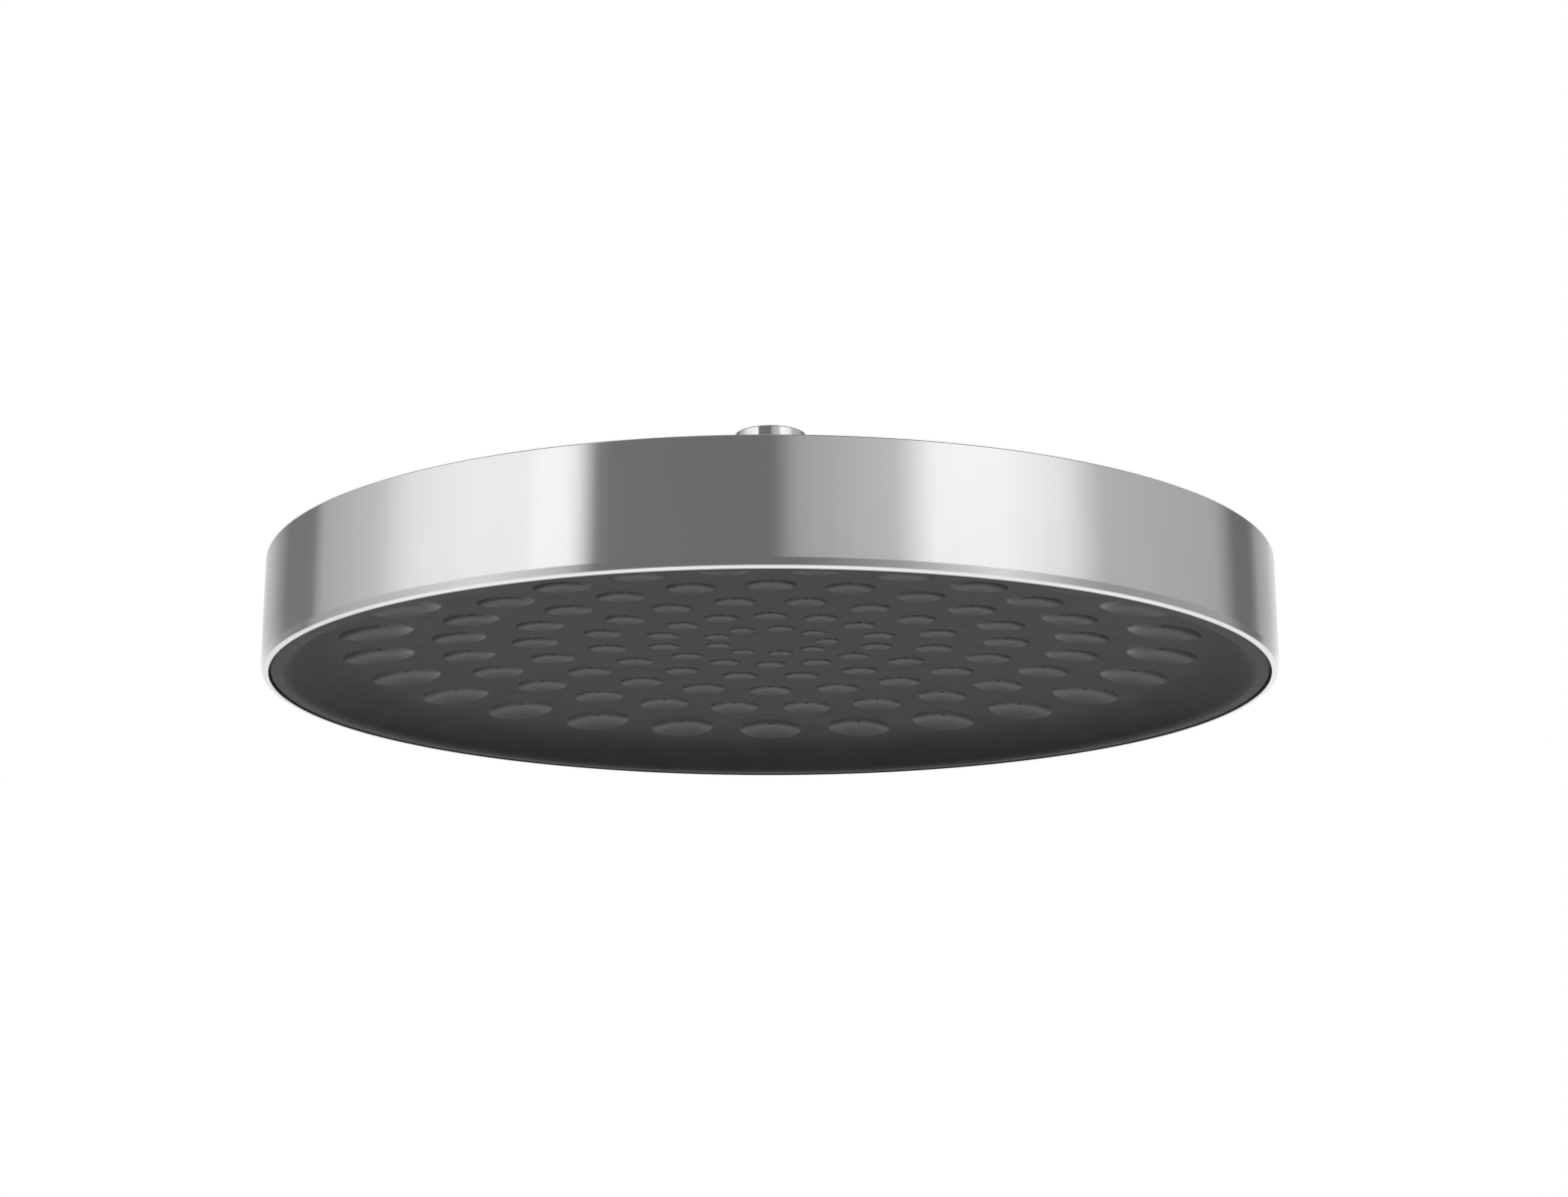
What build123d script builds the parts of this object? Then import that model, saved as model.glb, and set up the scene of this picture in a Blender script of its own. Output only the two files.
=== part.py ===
from build123d import *
import math
import os

# Rain shower head: a chromed drum with a dished, dimpled spray face, hung from a ball joint.
# Millimetres, +Z up. The origin is the centre of the inlet collar's top face, where the arm screws in.

# Drum
HEAD_DIAMETER = 350.0
HEAD_HEIGHT = 39.0
SHELL_WALL = 2.6
SHELL_TOP = 2.2
RIM_BEVEL_WIDTH = 0.5
RIM_BEVEL_HEIGHT = 2.7
TOP_EDGE_BEVEL = 0.5

# Spray face: a shallow cap of a large ball, with a tight cove down to a flat lip at the drum's rim
FACE_GAP = 0.4
FACE_RECESS = 0.4
FACE_THICKNESS = 4.0
LIP_WIDTH = 5.8
LIP_EDGE_RADIUS = 2.0
DISH_DEPTH = 19.2
DISH_RADIUS = 1700.0
DISH_COVE_RADIUS = 22.0
SKIRT_WALL = 2.4
SKIRT_HEIGHT = 12.0

# Dimples, ring by ring from the middle, each with a water outlet at its deepest point.
# The shares are of the drum's radius.
DIMPLE_COUNTS = (9, 14, 16, 20, 24, 24)
DIMPLE_RING_SHARES = (0.1126, 0.2206, 0.3389, 0.4737, 0.6211, 0.7869)
DIMPLE_SHARES = (0.0269, 0.0337, 0.0394, 0.0474, 0.0543, 0.0709)
DIMPLE_STARTS = (0.0, 90.0, 101.25, 90.0, 97.5, 90.0)
DIMPLE_DEPTH_SHARE = 0.2
OUTLET_DIAMETER = 1.2
OUTLET_SIDES = 6

# Water chamber behind the face
CHAMBER_HEIGHT = 6.0
LEDGE_INSET = 2.3
LEDGE_WIDTH = 12.0
LEDGE_RISE = 4.5
LID_THICKNESS = 2.5
LID_STEP_WIDTH = 6.0
LID_BOSS_DIAMETER = 60.0
LID_RIB_COUNT = 8
LID_RIB_WIDTH = 2.0
LID_RIB_HEIGHT = 4.0
SEAL_WIDTH = 2.4
SEAL_HEIGHT = 2.0
SEAL_INSET = 2.0
SCREW_COUNT = 6
SCREW_INSET = 4.0
SCREW_CORE_DIAMETER = 2.4
SCREW_LENGTH = 8.0
SCREW_HEAD_DIAMETER = 5.6
SCREW_HEAD_HEIGHT = 2.2
SCREW_HOLE_DIAMETER = 3.2

# Inlet collar, neck and ball
COLLAR_WALL = 2.52
COLLAR_LENGTH = 22.0
INLET_THREAD_DIAMETER = 20.955
INLET_THREAD_LENGTH = 12.0
INSERT_DIAMETER = 18.6
WATERWAY_DIAMETER = 10.0
NECK_WALL = 2.5
NECK_LENGTH = 15.0
BALL_DIAMETER = 24.0

# Inlet insert, stacked under the thread
WASHER_WIDTH = 2.4
WASHER_THICKNESS = 2.2
SCREEN_THICKNESS = 0.6
SCREEN_PITCH = 2.4
SCREEN_OPENING = 1.5
SCREEN_OPEN_RADIUS = 6.0
REGULATOR_THICKNESS = 4.0
REGULATOR_GROOVE_DEPTH = 2.4
REGULATOR_GROOVE_INNER_DIAMETER = 6.8
REGULATOR_GROOVE_WIDTH = 3.2
REGULATOR_RING_WIDTH = 1.4
REGULATOR_PORTS = 4
REGULATOR_PORT_DIAMETER = 1.6
REGULATOR_PORT_CIRCLE_DIAMETER = 11.3

# Ball joint: slip ring and union nut above the ball's middle, rubber seat below it
FRICTION_RING_WALL = 2.0
RING_LOW_ANGLE = 18.0
RING_HIGH_ANGLE = 40.0
NUT_SEAT_ANGLE = 35.0
NUT_WALL = 3.4
NUT_SKIRT = 12.0
NUT_LIP = 1.4
NUT_BEVEL = 4.0
NUT_FLAT_DEPTH = 1.5
NUT_FLAT_HEIGHT = 8.0
SEAT_ANGLE = 42.0
SEAT_DEPTH = 11.5

# Stem through the drum's top
STEM_WALL = 2.6
STEM_BORE_DIAMETER = 15.0
STEM_TOP_DROP = 1.2
FLANGE_WIDTH = 7.0
FLANGE_THICKNESS = 2.5
GASKET_THICKNESS = 1.5
LOCK_NUT_WALL = 5.4
LOCK_NUT_HEIGHT = 4.0
SHELL_WASHER_WIDTH = 7.8
SHELL_WASHER_THICKNESS = 1.5

# Clearances
RUN_CLEARANCE = 0.08
THREAD_CLEARANCE = 0.1
HOLE_CLEARANCE = 0.2
BALL_POCKET_CLEARANCE = 0.4
NUT_GAP = 0.5
PILOT_RUNOUT = 0.5

# Heights, from the inlet down to the rim
ball_z = -COLLAR_LENGTH - NECK_LENGTH
nut_bottom_z = ball_z - NUT_SKIRT
drum_top_z = nut_bottom_z - NUT_GAP - LOCK_NUT_HEIGHT - SHELL_WASHER_THICKNESS
ceiling_z = drum_top_z - SHELL_TOP
rim_z = drum_top_z - HEAD_HEIGHT
face_z = rim_z + DISH_DEPTH
lip_z = rim_z + FACE_RECESS
lid_z = face_z + FACE_THICKNESS + CHAMBER_HEIGHT
flange_top_z = lid_z - GASKET_THICKNESS

# Radii shared by pieces that fit each other
drum_radius = HEAD_DIAMETER / 2
drum_bore = drum_radius - SHELL_WALL
face_radius = drum_bore - FACE_GAP
lip_inner_radius = face_radius - LIP_WIDTH
ball_radius = BALL_DIAMETER / 2
ring_inner = ball_radius + RUN_CLEARANCE
ring_outer = ring_inner + FRICTION_RING_WALL
nut_seat = ring_outer + RUN_CLEARANCE
pocket_radius = ball_radius + BALL_POCKET_CLEARANCE
stem_radius = pocket_radius + STEM_WALL
stem_hole = stem_radius + HOLE_CLEARANCE
flange_radius = stem_radius + FLANGE_WIDTH
thread_radius = INLET_THREAD_DIAMETER / 2
collar_radius = thread_radius + COLLAR_WALL
insert_radius = INSERT_DIAMETER / 2 - HOLE_CLEARANCE / 2
insert_top_z = -INLET_THREAD_LENGTH - HOLE_CLEARANCE
screen_top_z = insert_top_z - WASHER_THICKNESS
regulator_top_z = screen_top_z - SCREEN_THICKNESS
insert_floor_z = regulator_top_z - REGULATOR_THICKNESS

# The dish's ball and its cove, as (radius, height): the cove touches the ball and ends at the lip
ball_centre = Vector(0, face_z - DISH_RADIUS)
lip_corner = Vector(lip_inner_radius, lip_z)
span = lip_corner - ball_centre
ball_to_cove = DISH_RADIUS - DISH_COVE_RADIUS
along = (ball_to_cove**2 - DISH_COVE_RADIUS**2 + span.length**2) / (2 * span.length)
aside = math.sqrt(ball_to_cove**2 - along**2)
direction = span.normalized()
cove_centre = ball_centre + direction * along + Vector(-direction.Y, direction.X) * aside
cove_tilt = math.asin(cove_centre.X / ball_to_cove)
lip_tilt = math.acos((lip_z - cove_centre.Y) / DISH_COVE_RADIUS)
cove_start_radius = DISH_RADIUS * math.sin(cove_tilt)
ledge_inner_radius = cove_start_radius - LEDGE_INSET
ledge_outer_radius = ledge_inner_radius + LEDGE_WIDTH
groove_radius = ledge_inner_radius + SEAL_INSET
screw_circle = ledge_outer_radius - SCREW_INSET
ledge_front_z = ball_centre.Y + math.sqrt(DISH_RADIUS**2 - ledge_inner_radius**2)
ledge_z = ledge_front_z + FACE_THICKNESS + LEDGE_RISE


def turned(*points):
    """A solid of revolution about Z from a closed outline of (radius, height) corners."""
    return revolve(Plane.XZ * make_face(Polyline(*points, close=True)), Axis.Z)


def ring(inner, outer, bottom, top):
    """A plain ring of rectangular section."""
    return turned((inner, bottom), (outer, bottom), (outer, top), (inner, top))


def disc(radius, bottom, thickness):
    """A plain disc standing on a height."""
    plate = Cylinder(radius, thickness, align=(Align.CENTER, Align.CENTER, Align.MIN))
    return Pos(0, 0, bottom) * plate


def dish_point(radius):
    """Height and lean of the face's front at a distance from the axis."""
    centre, bend = ball_centre, DISH_RADIUS
    if radius > cove_start_radius:
        centre, bend = cove_centre, DISH_COVE_RADIUS
    tilt = math.asin((radius - centre.X) / bend)
    return centre.Y + bend * math.cos(tilt), tilt


def cove_point(offset, tilt):
    """A point of the cove, moved back from the front by offset, where its normal leans by tilt."""
    bend = DISH_COVE_RADIUS + offset
    return (cove_centre.X + bend * math.sin(tilt), cove_centre.Y + bend * math.cos(tilt))


def make_shell():
    """The drum: flat top with a hole for the stem, straight wall, bevelled lower edge and flat rim."""
    return turned(
        (stem_hole, ceiling_z),
        (drum_bore, ceiling_z),
        (drum_bore, rim_z),
        (drum_radius - RIM_BEVEL_WIDTH, rim_z),
        (drum_radius, rim_z + RIM_BEVEL_HEIGHT),
        (drum_radius, drum_top_z - TOP_EDGE_BEVEL),
        (drum_radius - TOP_EDGE_BEVEL, drum_top_z),
        (stem_hole, drum_top_z),
    )


def dimple_cutters():
    """Balls that press the dimples into the front, and the outlets through the plate behind them."""
    rings = zip(DIMPLE_COUNTS, DIMPLE_RING_SHARES, DIMPLE_SHARES, DIMPLE_STARTS)
    cutters = []
    for count, ring_share, dimple_share, start in rings:
        ring_radius, dimple_radius = ring_share * drum_radius, dimple_share * drum_radius
        height, tilt = dish_point(ring_radius)
        depth = DIMPLE_DEPTH_SHARE * dimple_radius
        press = (dimple_radius**2 + depth**2) / (2 * depth)
        drop = press - depth
        ball = Rot(90, 0, 0) * Sphere(press)
        outlet = extrude(RegularPolygon(OUTLET_DIAMETER / 2, OUTLET_SIDES), 2 * FACE_THICKNESS)
        press_centre = (ring_radius - drop * math.sin(tilt), 0, height - drop * math.cos(tilt))
        for step in range(count):
            turn = Rot(0, 0, start + 360 * step / count)
            cutters.append(turn * Pos(*press_centre) * ball)
            cutters.append(turn * Pos(ring_radius, 0, height) * outlet)
    return cutters


def make_dish():
    """The middle of the face: a slice between two balls, cut off where the cove begins."""
    core = Pos(0, 0, face_z) * Cylinder(cove_start_radius, DISH_DEPTH)
    place = Pos(0, 0, ball_centre.Y) * Rot(90, 0, 0)
    return (core & place * Sphere(DISH_RADIUS + FACE_THICKNESS)) - place * Sphere(DISH_RADIUS)


def make_face_edge():
    """The face's outer part: cove, lip, rounded edge, skirt, and the ledge with its groove for the seal."""
    start = cove_point(0, cove_tilt)
    middle_z = start[1] + FACE_THICKNESS / 2
    lip_back = cove_point(FACE_THICKNESS, lip_tilt)
    skirt_inner = face_radius - SKIRT_WALL
    outer_height, outer_tilt = dish_point(ledge_outer_radius)
    groove_outer = groove_radius + SEAL_WIDTH
    groove_z = ledge_z - SEAL_HEIGHT
    cove = ThreePointArc(start, cove_point(0, (cove_tilt + lip_tilt) / 2), (lip_inner_radius, lip_z))
    lip_end = (face_radius - LIP_EDGE_RADIUS, lip_z)
    skirt_start = (face_radius, lip_z + LIP_EDGE_RADIUS)
    lip = Line((lip_inner_radius, lip_z), lip_end)
    lip_edge = TangentArc(lip_end, skirt_start, tangent=(1, 0))
    rest = Polyline(
        skirt_start,
        (face_radius, lip_z + SKIRT_HEIGHT),
        (skirt_inner, lip_z + SKIRT_HEIGHT),
        (skirt_inner, lip_back[1]),
        (ledge_outer_radius, outer_height + FACE_THICKNESS / math.cos(outer_tilt)),
        (ledge_outer_radius, ledge_z),
        (groove_outer, ledge_z),
        (groove_outer, groove_z),
        (groove_radius, groove_z),
        (groove_radius, ledge_z),
        (ledge_inner_radius, ledge_z),
        (ledge_inner_radius, middle_z),
        (start[0], middle_z),
        start,
    )
    return revolve(Plane.XZ * make_face([cove, lip, lip_edge] + rest.edges()), Axis.Z)


def make_face_plate():
    """The spray face as one moulding, with its dimples, outlets and screw holes."""
    pilot_radius = SCREW_CORE_DIAMETER / 2 + RUN_CLEARANCE
    pilot_depth = SCREW_LENGTH - LID_THICKNESS + PILOT_RUNOUT
    pilot = Cylinder(pilot_radius, pilot_depth, align=(Align.CENTER, Align.CENTER, Align.MAX))
    pilots = [place * pilot for place in screw_places(ledge_z)]
    return make_dish() + make_face_edge() - (dimple_cutters() + pilots)


def screw_places(height):
    """The screws' places round the chamber's edge."""
    return Pos(0, 0, height) * PolarLocations(screw_circle, SCREW_COUNT)


def make_chamber_plate():
    """The chamber's lid: boss round the stem, ribbed disc, and a stepped flange on the ledge."""
    step_inner = ledge_inner_radius - LID_STEP_WIDTH
    boss_radius = LID_BOSS_DIAMETER / 2
    top_z = lid_z + LID_THICKNESS
    flange_z = ledge_z + LID_THICKNESS
    lid = turned(
        (stem_hole, lid_z),
        (step_inner - LID_THICKNESS, lid_z),
        (ledge_inner_radius - LID_THICKNESS, ledge_z),
        (ledge_outer_radius, ledge_z),
        (ledge_outer_radius, flange_z),
        (ledge_inner_radius, flange_z),
        (step_inner, top_z),
        (boss_radius, top_z),
        (boss_radius, ceiling_z),
        (stem_hole, ceiling_z),
    )
    rib_length = step_inner - boss_radius
    rib = Box(rib_length, LID_RIB_WIDTH, LID_RIB_HEIGHT, align=(Align.MIN, Align.CENTER, Align.MIN))
    rib_start = boss_radius - LID_RIB_WIDTH
    ribs = [place * rib for place in Pos(0, 0, top_z) * PolarLocations(rib_start, LID_RIB_COUNT)]
    hole = Cylinder(SCREW_HOLE_DIAMETER / 2, 3 * LID_THICKNESS)
    return lid + ribs - [place * hole for place in screw_places(ledge_z)]


def make_chamber_screws():
    """Pan-head screws with plain shanks, through the lid's flange into the face's ledge."""
    head_z = ledge_z + LID_THICKNESS
    head = Cylinder(
        SCREW_HEAD_DIAMETER / 2, SCREW_HEAD_HEIGHT, align=(Align.CENTER, Align.CENTER, Align.MIN)
    )
    shank = Cylinder(
        SCREW_CORE_DIAMETER / 2, SCREW_LENGTH, align=(Align.CENTER, Align.CENTER, Align.MAX)
    )
    screw = head + shank
    return Compound([place * screw for place in screw_places(head_z)])


def make_ball_connector():
    """Inlet collar with its threaded socket and insert seat, neck and ball, turned from one bar."""
    waterway = WATERWAY_DIAMETER / 2
    neck = waterway + NECK_WALL
    neck_z = ball_z + math.sqrt(ball_radius**2 - neck**2)
    mouth_z = ball_z - math.sqrt(ball_radius**2 - waterway**2)
    seat = INSERT_DIAMETER / 2
    ball = ThreePointArc((waterway, mouth_z), (ball_radius, ball_z), (neck, neck_z))
    rest = Polyline(
        (neck, neck_z),
        (neck, -COLLAR_LENGTH),
        (collar_radius, -COLLAR_LENGTH),
        (collar_radius, 0),
        (thread_radius, 0),
        (thread_radius, -INLET_THREAD_LENGTH),
        (seat, -INLET_THREAD_LENGTH),
        (seat, insert_floor_z),
        (waterway, insert_floor_z),
        (waterway, mouth_z),
    )
    return revolve(Plane.XZ * make_face([ball] + rest.edges()), Axis.Z)


def make_inlet_washer():
    """Rubber washer that the arm's end presses on."""
    return ring(insert_radius - WASHER_WIDTH, insert_radius, screen_top_z, insert_top_z)


def make_filter_screen():
    """Sieve disc with a grid of square openings."""
    screen = disc(insert_radius, regulator_top_z, SCREEN_THICKNESS)
    opening = Box(SCREEN_OPENING, SCREEN_OPENING, 3 * SCREEN_THICKNESS)
    across = 2 * int(SCREEN_OPEN_RADIUS / SCREEN_PITCH) + 1
    grid = GridLocations(SCREEN_PITCH, SCREEN_PITCH, across, across)
    inside = [place for place in grid if place.position.length <= SCREEN_OPEN_RADIUS]
    return screen - [Pos(0, 0, regulator_top_z) * place * opening for place in inside]


def make_flow_regulator():
    """Insert with an annular groove for the elastic ring and a circle of ports under it."""
    groove_inner = REGULATOR_GROOVE_INNER_DIAMETER / 2
    groove_outer = groove_inner + REGULATOR_GROOVE_WIDTH
    groove_z = regulator_top_z - REGULATOR_GROOVE_DEPTH
    body = disc(insert_radius, insert_floor_z, REGULATOR_THICKNESS)
    groove = ring(groove_inner, groove_outer, groove_z, regulator_top_z)
    port_circle = REGULATOR_PORT_CIRCLE_DIAMETER / 2
    port = Cylinder(REGULATOR_PORT_DIAMETER / 2, 2 * REGULATOR_THICKNESS)
    ports = [place * port for place in Pos(0, 0, groove_z) * PolarLocations(port_circle, REGULATOR_PORTS)]
    return body - groove - ports


def make_regulator_ring():
    """Elastic ring that narrows the regulator's groove as the pressure rises."""
    inner = REGULATOR_GROOVE_INNER_DIAMETER / 2
    groove_z = regulator_top_z - REGULATOR_GROOVE_DEPTH
    return ring(inner, inner + REGULATOR_RING_WIDTH, groove_z, groove_z + REGULATOR_RING_WIDTH)


def around_ball(radius, angle):
    """A point at a distance from the ball's centre, angle degrees above its middle."""
    lean = math.radians(angle)
    return (radius * math.cos(lean), ball_z + radius * math.sin(lean))


def tangent_height(radius, angle, at):
    """Height, at a distance from the axis, of the line that touches a circle about the ball's centre."""
    touch = around_ball(radius, angle)
    return touch[1] - (at - touch[0]) / math.tan(math.radians(angle))


def make_friction_ring():
    """Slip ring between ball and nut: a cone on the ball inside, round about the ball's centre outside."""
    middle = (RING_LOW_ANGLE + RING_HIGH_ANGLE) / 2
    low, high = around_ball(ring_outer, RING_LOW_ANGLE), around_ball(ring_outer, RING_HIGH_ANGLE)
    low_inner = around_ball(ring_inner, RING_LOW_ANGLE)[0]
    high_inner = around_ball(ring_inner, RING_HIGH_ANGLE)[0]
    low_corner = (low_inner, tangent_height(ring_inner, middle, low_inner))
    high_corner = (high_inner, tangent_height(ring_inner, middle, high_inner))
    outside = ThreePointArc(low, around_ball(ring_outer, middle), high)
    rest = Polyline(high, high_corner, low_corner, low)
    return revolve(Plane.XZ * make_face([outside] + rest.edges()), Axis.Z)


def make_union_nut():
    """Nut that holds ring and ball down on the stem: bevelled top, two spanner flats, cone seat inside."""
    middle = (RING_LOW_ANGLE + RING_HIGH_ANGLE) / 2
    mouth = around_ball(nut_seat, NUT_SEAT_ANGLE)[0]
    mouth_z = tangent_height(nut_seat, middle, mouth)
    top_z = mouth_z + NUT_LIP
    bore = stem_radius + THREAD_CLEARANCE
    shoulder_z = ball_z - STEM_TOP_DROP + HOLE_CLEARANCE
    outer = bore + NUT_WALL
    nut = turned(
        (mouth, mouth_z),
        (nut_seat, tangent_height(nut_seat, middle, nut_seat)),
        (nut_seat, shoulder_z),
        (bore, shoulder_z),
        (bore, nut_bottom_z),
        (outer, nut_bottom_z),
        (outer, top_z - NUT_BEVEL),
        (outer - NUT_BEVEL, top_z),
        (mouth, top_z),
    )
    side = Box(outer, 2 * outer, NUT_FLAT_HEIGHT, align=(Align.MIN, Align.CENTER, Align.MIN))
    place = Pos(outer - NUT_FLAT_DEPTH, 0, nut_bottom_z)
    flats = [turn * place * side for turn in (Rot(), Rot(0, 0, 180))]
    return nut - flats


def make_seat_seal():
    """Rubber seat under the ball, with a cone that meets the ball along a circle."""
    outer = pocket_radius - THREAD_CLEARANCE
    inner = STEM_BORE_DIAMETER / 2
    floor_z = ball_z - SEAT_DEPTH
    return turned(
        (inner, floor_z),
        (outer, floor_z),
        (outer, tangent_height(ring_inner, -SEAT_ANGLE, outer)),
        (inner, tangent_height(ring_inner, -SEAT_ANGLE, inner)),
    )


def make_inlet_spigot():
    """Hollow threaded stem: ball pocket at the top, bore, and a flange inside the chamber."""
    bore = STEM_BORE_DIAMETER / 2
    top_z, floor_z = ball_z - STEM_TOP_DROP, ball_z - SEAT_DEPTH
    bottom_z = flange_top_z - FLANGE_THICKNESS
    return turned(
        (bore, bottom_z),
        (flange_radius, bottom_z),
        (flange_radius, flange_top_z),
        (stem_radius, flange_top_z),
        (stem_radius, top_z),
        (pocket_radius, top_z),
        (pocket_radius, floor_z),
        (bore, floor_z),
    )


def make_spigot_gasket():
    """Rubber ring between the stem's flange and the lid."""
    return ring(stem_hole, flange_radius, flange_top_z, lid_z)


def make_shell_washer():
    """Washer that keeps the lock nut off the drum's finish."""
    top_z = drum_top_z + SHELL_WASHER_THICKNESS
    return ring(stem_hole, stem_hole + SHELL_WASHER_WIDTH, drum_top_z, top_z)


def make_lock_nut():
    """Hexagon nut on the stem above the washer."""
    bore = stem_radius + THREAD_CLEARANCE
    section = RegularPolygon(bore + LOCK_NUT_WALL, 6, major_radius=False) - Circle(bore)
    return Pos(0, 0, drum_top_z + SHELL_WASHER_THICKNESS) * extrude(section, LOCK_NUT_HEIGHT)


def make_chamber_seal():
    """Rubber ring in the ledge's groove, level with the ledge."""
    return ring(groove_radius, groove_radius + SEAL_WIDTH, ledge_z - SEAL_HEIGHT, ledge_z)

NODES = {
    "shell": make_shell,
    "face_plate": make_face_plate,
    "chamber_plate": make_chamber_plate,
    "chamber_seal": make_chamber_seal,
    "chamber_screws": make_chamber_screws,
    "inlet_spigot": make_inlet_spigot,
    "spigot_gasket": make_spigot_gasket,
    "shell_washer": make_shell_washer,
    "lock_nut": make_lock_nut,
    "seat_seal": make_seat_seal,
    "union_nut": make_union_nut,
    "friction_ring": make_friction_ring,
    "ball_connector": make_ball_connector,
    "inlet_washer": make_inlet_washer,
    "filter_screen": make_filter_screen,
    "flow_regulator": make_flow_regulator,
    "regulator_ring": make_regulator_ring,
}

os.makedirs("parts", exist_ok=True)
for name, make in NODES.items():
    export_step(make(), f"parts/{name}.step")
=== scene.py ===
"""Looks of a rain shower head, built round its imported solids.

Lengths of the object are in millimetres, those of the studio in metres.
"""
import math

import bpy
import numpy as np
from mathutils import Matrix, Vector
from mathutils.geometry import delaunay_2d_cdt


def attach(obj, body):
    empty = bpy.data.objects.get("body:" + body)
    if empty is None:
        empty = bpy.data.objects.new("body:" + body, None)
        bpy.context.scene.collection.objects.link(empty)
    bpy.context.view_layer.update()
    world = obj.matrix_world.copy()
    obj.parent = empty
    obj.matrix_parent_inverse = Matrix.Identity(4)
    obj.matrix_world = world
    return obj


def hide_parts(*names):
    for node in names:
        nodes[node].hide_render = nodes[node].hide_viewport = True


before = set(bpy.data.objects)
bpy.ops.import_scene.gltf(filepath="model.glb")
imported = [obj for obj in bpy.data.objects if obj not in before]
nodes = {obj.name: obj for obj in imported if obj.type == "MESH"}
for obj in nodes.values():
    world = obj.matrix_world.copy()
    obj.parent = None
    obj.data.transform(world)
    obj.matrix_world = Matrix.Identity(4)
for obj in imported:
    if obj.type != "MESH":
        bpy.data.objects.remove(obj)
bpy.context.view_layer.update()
scene = bpy.context.scene

MM = 0.001
FULL_TURN = 2 * math.pi
TINY = 1e-6

# Drum
RIM_Z = -94.0
DRUM_TOP_Z = -55.0
CEILING_Z = -57.2
DRUM_RADIUS = 175.0
DRUM_BORE = 172.4
STEM_HOLE = 15.2
RIM_RISE = 0.38
RIM_ROUNDING = 0.3
RIM_BEVEL_WIDTH = 0.5
RIM_BEVEL_HEIGHT = 2.7
DRUM_SEGMENTS = 512

# Spray face
FACE_RADIUS = 172.0
FACE_THICKNESS = 4.0
FACE_SEGMENTS = 384
LIP_EDGE_RADIUS = 1.2
LIP_FILLET_RADIUS = 3.5
LIP_FILLET_STEPS = 6
LIP_INNER_RADIUS = 166.2
LIP_Z = RIM_Z + 0.4
DISH_DEPTH = 18.3
DISH_FLAT_RADIUS = 60.0
DISH_CROWN_RADIUS = 600.0
DISH_COVE_RADIUS = 22.0
DISH_COVE_STEPS = 12
DISH_TOP_Z = RIM_Z + DISH_DEPTH
SKIRT_WALL = 2.4
SKIRT_HEIGHT = 12.0
LEDGE_INNER_RADIUS = 146.0
LEDGE_OUTER_RADIUS = 158.0
LEDGE_HEIGHT = 6.0
LEDGE_Z = -72.58
GROOVE_INNER_RADIUS = 148.0
GROOVE_WIDTH = 2.4
GROOVE_DEPTH = 2.0

# Dimples
DIMPLE_RINGS = (
    # count, ring radius, dimple radius, first angle
    (9, 19.7, 4.7, 0.0),
    (14, 38.6, 5.9, 90.0),
    (16, 59.3, 6.9, 101.25),
    (20, 82.9, 8.3, 90.0),
    (24, 108.7, 9.5, 97.5),
    (24, 137.7, 12.4, 90.0),
)
DIMPLE_DEPTH_SHARE = 0.16
DIMPLE_EDGE_SOFTNESS = 0.05
DIMPLE_EDGE = 8 * DIMPLE_EDGE_SOFTNESS
DIMPLE_SHARES = (0.2, 0.4, 0.6, 0.8, 0.92)
DIMPLE_SEGMENTS = 50
OUTLET_RADIUS = 0.75
OUTLET_EDGE = 0.15
FRONT_GRID = 4.5
FRONT_GRID_CLEARANCE = 1.6
BACK_GRID = 12.0
BACK_GRID_CLEARANCE = 3.0

# Inlet collar, neck and ball
COLLAR_RADIUS = 13.0
COLLAR_LENGTH = 22.0
NECK_RADIUS = 7.5
BALL_RADIUS = 12.0
BALL_Z = -37.0
BALL_STEPS = 40
WATERWAY_RADIUS = 5.0
INSERT_RADIUS = 9.3
INSERT_FLOOR_Z = -19.0
THREAD_RADIUS = 10.4775
THREAD_LENGTH = 12.0
MOUTH_CHAMFER = 0.7
CONNECTOR_SEGMENTS = 160

# Ridge of the inlet's thread
RIDGE_PITCH = 1.814
RIDGE_WALL_RADIUS = 10.46
RIDGE_CREST_RADIUS = 9.5
RIDGE_TOP_Z = -1.2
RIDGE_BOTTOM_Z = -11.4
RIDGE_FOOT = 0.42 * RIDGE_PITCH
RIDGE_CREST = 0.08 * RIDGE_PITCH
RIDGE_SEGMENTS = 72
RIDGE_FADE_STEPS = 20

# Nuts
STEM_BORE = 15.1
NUT_RADIUS = 18.5
NUT_FLAT = 17.0
NUT_FLAT_HEIGHT = 8.0
NUT_FLAT_STEP = 0.01
NUT_BEVEL = 4.0
NUT_BOTTOM_Z = -49.0
NUT_TOP_Z = -27.32
NUT_MOUTH_RADIUS = 11.6
NUT_MOUTH_Z = -28.72
NUT_SEAT_RADIUS = 14.16
NUT_SEAT_Z = -33.33
NUT_SHOULDER_Z = -38.0
NUT_SEGMENTS = 240
LOCK_NUT_LIFT = 1.5
LOCK_NUT_HEIGHT = 4.0
LOCK_NUT_FLAT = 20.5
LOCK_NUT_CHAMFER_INSET = 0.3
LOCK_NUT_CHAMFER_HEIGHT = 1.2
LOCK_NUT_SEGMENTS = 6 * 32


# Meshes

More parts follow.
